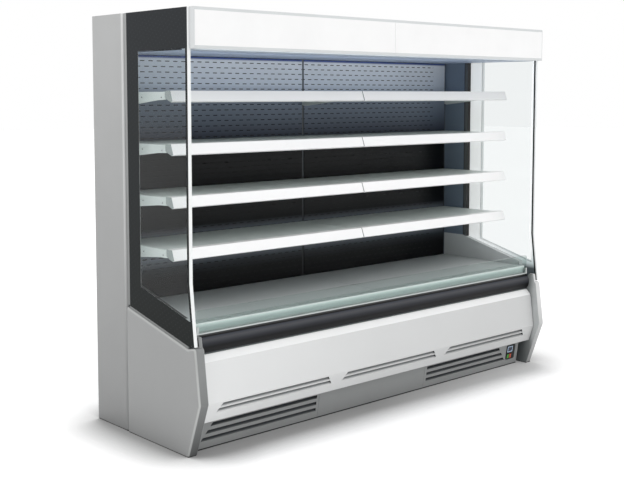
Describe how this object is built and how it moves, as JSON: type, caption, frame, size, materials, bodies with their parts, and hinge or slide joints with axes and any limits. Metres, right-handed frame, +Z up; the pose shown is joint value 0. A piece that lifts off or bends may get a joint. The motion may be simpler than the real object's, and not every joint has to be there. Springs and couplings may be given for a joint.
{
  "type": "open multideck display fridge",
  "caption": "Open-fronted multideck display fridge with glazed ends, hooked tilting shelves with price rails, a front deck with a low riser glass, a louvred front panel and a flat canopy.",
  "frame": {"origin": "on the floor, at the middle of the length and of the depth", "axes": "+X along the front from left to right as the customer sees it, +Y from the open front to the rear wall, +Z up"},
  "size_m": [2.58, 0.8841, 2.03],
  "materials": {
    "grey_enamel": "light grey powder coat, semi-gloss",
    "end_panel_enamel": "light grey moulded shell, satin",
    "white_enamel": "white powder coat, semi-gloss",
    "trim_enamel": "pale grey powder coat, satin",
    "kick_enamel": "mid grey powder coat, fine texture",
    "frame_steel": "dark grey enamel",
    "roof_steel": "galvanised and coated sheet",
    "liner_steel": "coated sheet lining, semi-gloss",
    "back_steel": "coated perforated sheet, semi-gloss",
    "upright_steel": "coated folded steel",
    "shelf_enamel": "pale grey powder coat, satin",
    "rail_plastic": "white extruded plastic",
    "deck_steel": "pale grey coated sheet",
    "end_glass": "clear toughened glass",
    "riser_glass": "clear toughened glass, ground edge",
    "glass_border": "dark printed border behind the glass",
    "edge_plastic": "white extruded channel",
    "riser_aluminium": "satin anodised",
    "bumper_plastic": "dark grey extruded bumper",
    "outlet_plastic": "grey moulded grille",
    "lamp_diffuser": "opal diffuser",
    "control_plastic": "black moulded housing",
    "display_plastic": "pale frame around a dark display",
    "rocker_green": "green moulded rocker",
    "rocker_orange": "orange-red moulded rocker",
    "foot_plastic": "black moulded foot",
    "fan_plastic": "black moulded fan",
    "galvanised_steel": "galvanised sheet",
    "coil_aluminium": "plain fins and tubes",
    "unit_enamel": "black enamel"
  },
  "bodies": {
    "cabinet": {"air_outlet": "outlet_plastic", "back_panel_left": "back_steel", "back_panel_right": "back_steel", "base_frame": "frame_steel", "bottom_trough": "liner_steel", "bumper": "bumper_plastic", "canopy_frame": "trim_enamel", "canopy_lamp": "lamp_diffuser", "canopy_panels": "white_enamel", "ceiling_panel": "liner_steel", "condensing_unit": "unit_enamel", "control_housing": "control_plastic", "edge_profile_left": "edge_plastic", "edge_profile_right": "edge_plastic", "end_liners": "liner_steel", "evaporator": "coil_aluminium", "fan_plate": "galvanised_steel", "front_panel": "white_enamel", "glass_mask_left": "glass_border", "glass_mask_right": "glass_border", "kick_grille_left": "kick_enamel", "kick_grille_right": "kick_enamel", "kick_panel_centre": "kick_enamel", "levelling_feet": "foot_plastic", "lower_end_panel_left": "end_panel_enamel", "lower_end_panel_right": "end_panel_enamel", "rear_column_left": "grey_enamel", "rear_column_right": "grey_enamel", "rear_wall": "roof_steel", "return_grille": "deck_steel", "riser_glass": "riser_glass", "riser_rail": "riser_aluminium", "roof_panel": "roof_steel", "shelf_uprights": "upright_steel", "side_glass_left": "end_glass", "side_glass_right": "end_glass", "thermostat_display": "display_plastic"},
    "shelf 1 left": {"shelf_1_left": "shelf_enamel", "price_rail_1_left": "rail_plastic"},
    "shelf 1 right": {"shelf_1_right": "shelf_enamel", "price_rail_1_right": "rail_plastic"},
    "shelf 2 left": {"shelf_2_left": "shelf_enamel", "price_rail_2_left": "rail_plastic"},
    "shelf 2 right": {"shelf_2_right": "shelf_enamel", "price_rail_2_right": "rail_plastic"},
    "shelf 3 left": {"shelf_3_left": "shelf_enamel", "price_rail_3_left": "rail_plastic"},
    "shelf 3 right": {"shelf_3_right": "shelf_enamel", "price_rail_3_right": "rail_plastic"},
    "shelf 4 left": {"shelf_4_left": "shelf_enamel", "price_rail_4_left": "rail_plastic"},
    "shelf 4 right": {"shelf_4_right": "shelf_enamel", "price_rail_4_right": "rail_plastic"},
    "deck tray left": {"deck_tray_left": "deck_steel"},
    "deck tray right": {"deck_tray_right": "deck_steel"},
    "evaporator fan left": {"evaporator_fan_left": "fan_plastic"},
    "evaporator fan right": {"evaporator_fan_right": "fan_plastic"},
    "condenser fan": {"condenser_fan": "fan_plastic"},
    "rocker power": {"rocker_power": "rocker_green"},
    "rocker light": {"rocker_light": "rocker_orange"}
  },
  "joints": [
    {"name": "shelf_1_left_tilt", "type": "hinge", "parent": "cabinet", "child": "shelf 1 left", "pos_m": [0, 0.32, 1.641], "axis": [-1, 0, 0], "range_deg": [0, 12]},
    {"name": "shelf_1_right_tilt", "type": "hinge", "parent": "cabinet", "child": "shelf 1 right", "pos_m": [0, 0.32, 1.641], "axis": [-1, 0, 0], "range_deg": [0, 12]},
    {"name": "shelf_2_left_tilt", "type": "hinge", "parent": "cabinet", "child": "shelf 2 left", "pos_m": [0, 0.32, 1.395], "axis": [-1, 0, 0], "range_deg": [0, 12]},
    {"name": "shelf_2_right_tilt", "type": "hinge", "parent": "cabinet", "child": "shelf 2 right", "pos_m": [0, 0.32, 1.395], "axis": [-1, 0, 0], "range_deg": [0, 12]},
    {"name": "shelf_3_left_tilt", "type": "hinge", "parent": "cabinet", "child": "shelf 3 left", "pos_m": [0, 0.32, 1.149], "axis": [-1, 0, 0], "range_deg": [0, 12]},
    {"name": "shelf_3_right_tilt", "type": "hinge", "parent": "cabinet", "child": "shelf 3 right", "pos_m": [0, 0.32, 1.149], "axis": [-1, 0, 0], "range_deg": [0, 12]},
    {"name": "shelf_4_left_tilt", "type": "hinge", "parent": "cabinet", "child": "shelf 4 left", "pos_m": [0, 0.32, 0.903], "axis": [-1, 0, 0], "range_deg": [0, 12]},
    {"name": "shelf_4_right_tilt", "type": "hinge", "parent": "cabinet", "child": "shelf 4 right", "pos_m": [0, 0.32, 0.903], "axis": [-1, 0, 0], "range_deg": [0, 12]},
    {"name": "deck_tray_left_lift", "type": "hinge", "parent": "cabinet", "child": "deck tray left", "pos_m": [0, 0.309, 0.604], "axis": [-1, 0, 0], "range_deg": [0, 20]},
    {"name": "deck_tray_right_lift", "type": "hinge", "parent": "cabinet", "child": "deck tray right", "pos_m": [0, 0.309, 0.604], "axis": [-1, 0, 0], "range_deg": [0, 20]},
    {"name": "evaporator_fan_left_spin", "type": "hinge", "parent": "cabinet", "child": "evaporator fan left", "pos_m": [-0.62, -0.11, 0.518], "axis": [0, 0, 1], "continuous": true},
    {"name": "evaporator_fan_right_spin", "type": "hinge", "parent": "cabinet", "child": "evaporator fan right", "pos_m": [0.62, -0.11, 0.518], "axis": [0, 0, 1], "continuous": true},
    {"name": "condenser_fan_spin", "type": "hinge", "parent": "cabinet", "child": "condenser fan", "pos_m": [-0.8, -0.128, 0.185], "axis": [0, 1, 0], "continuous": true},
    {"name": "rocker_power_tip", "type": "hinge", "parent": "cabinet", "child": "rocker power", "pos_m": [1.102, -0.31178, 0.06131], "axis": [-1, 0, 0], "range_deg": [0, 12]},
    {"name": "rocker_light_tip", "type": "hinge", "parent": "cabinet", "child": "rocker light", "pos_m": [1.124, -0.31178, 0.06131], "axis": [-1, 0, 0], "range_deg": [0, 12]}
  ]
}
